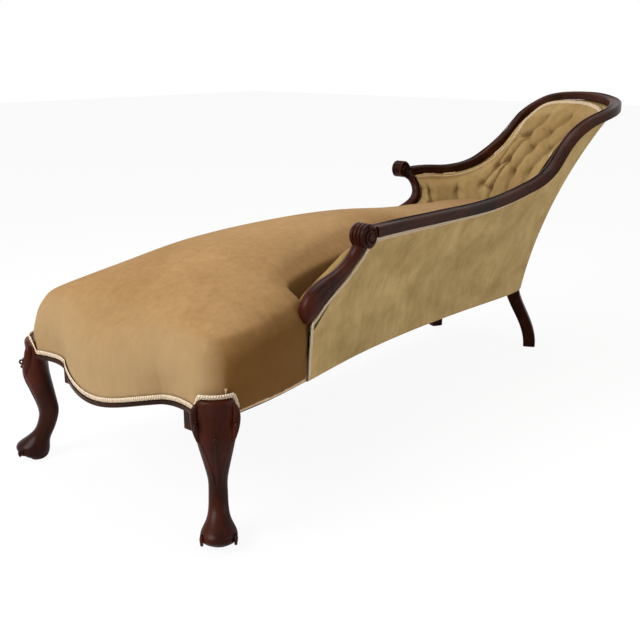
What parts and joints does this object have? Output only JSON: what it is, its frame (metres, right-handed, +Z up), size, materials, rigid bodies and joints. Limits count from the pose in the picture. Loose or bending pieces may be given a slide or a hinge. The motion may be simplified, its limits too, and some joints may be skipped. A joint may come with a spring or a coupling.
{
  "type": "chaise longue",
  "caption": "Long upholstered seat on carved legs, with a carved show-wood rail from a long arm over a high buttoned head end to a short arm.",
  "frame": {"origin": "middle of the bounding box, on the floor under the feet", "axes": "+X from the foot end to the high head end, +Y from the near long arm to the far short arm, +Z up"},
  "size_m": [1.951, 0.7791, 0.8308],
  "materials": {
    "show_wood": "polished dark red-brown",
    "frame_wood": "plain unpolished beech",
    "screw_steel": "blued steel",
    "spring_steel": "coppered wire, dulled",
    "velvet": "tan-gold velvet with a short nap",
    "braid": "pale woven braid",
    "hessian": "coarse jute",
    "stuffing": "horsehair under calico",
    "twine": "laid cord",
    "webbing": "herringbone webbing",
    "bottom_cloth": "black cotton"
  },
  "bodies": {
    "root": {"long_arm_rail": "show_wood", "crest_rail": "show_wood", "short_arm_rail": "show_wood", "foot_end_rail": "show_wood", "near_arm_support": "show_wood", "far_arm_support": "show_wood", "near_front_leg": "show_wood", "far_front_leg": "show_wood", "near_rear_leg": "show_wood", "far_rear_leg": "show_wood", "head_seat_rail": "frame_wood", "near_side_rail": "frame_wood", "far_side_rail": "frame_wood", "near_front_corner_block": "frame_wood", "far_front_corner_block": "frame_wood", "near_rear_corner_block": "frame_wood", "far_rear_corner_block": "frame_wood", "tacking_rail_near": "frame_wood", "tacking_rail_head": "frame_wood", "tacking_rail_far": "frame_wood", "near_stile_1": "frame_wood", "near_stile_2": "frame_wood", "near_stile_3": "frame_wood", "near_stile_4": "frame_wood", "head_stile_1": "frame_wood", "head_stile_2": "frame_wood", "head_stile_3": "frame_wood", "far_stile_1": "frame_wood", "far_stile_2": "frame_wood", "frame_dowels": "frame_wood", "corner_block_screws": "screw_steel", "bottom_tacks": "screw_steel", "seat_springs": "spring_steel", "outside_back_near": "velvet", "outside_back_head": "velvet", "outside_back_far": "velvet", "inside_back_near": "velvet", "inside_back_head": "velvet", "inside_back_far": "velvet", "seat_cover": "velvet", "back_buttons": "velvet", "outside_gimp": "braid", "inside_gimp": "braid", "foot_end_gimp": "braid", "outside_lining": "hessian", "inside_hessian": "hessian", "seat_hessian": "hessian", "inside_stuffing_near": "stuffing", "inside_stuffing_head": "stuffing", "inside_stuffing_far": "stuffing", "seat_stuffing": "stuffing", "spring_twine": "twine", "lengthwise_webbing": "webbing", "crosswise_webbing": "webbing", "bottoming_cloth": "bottom_cloth"}
  },
  "joints": []
}
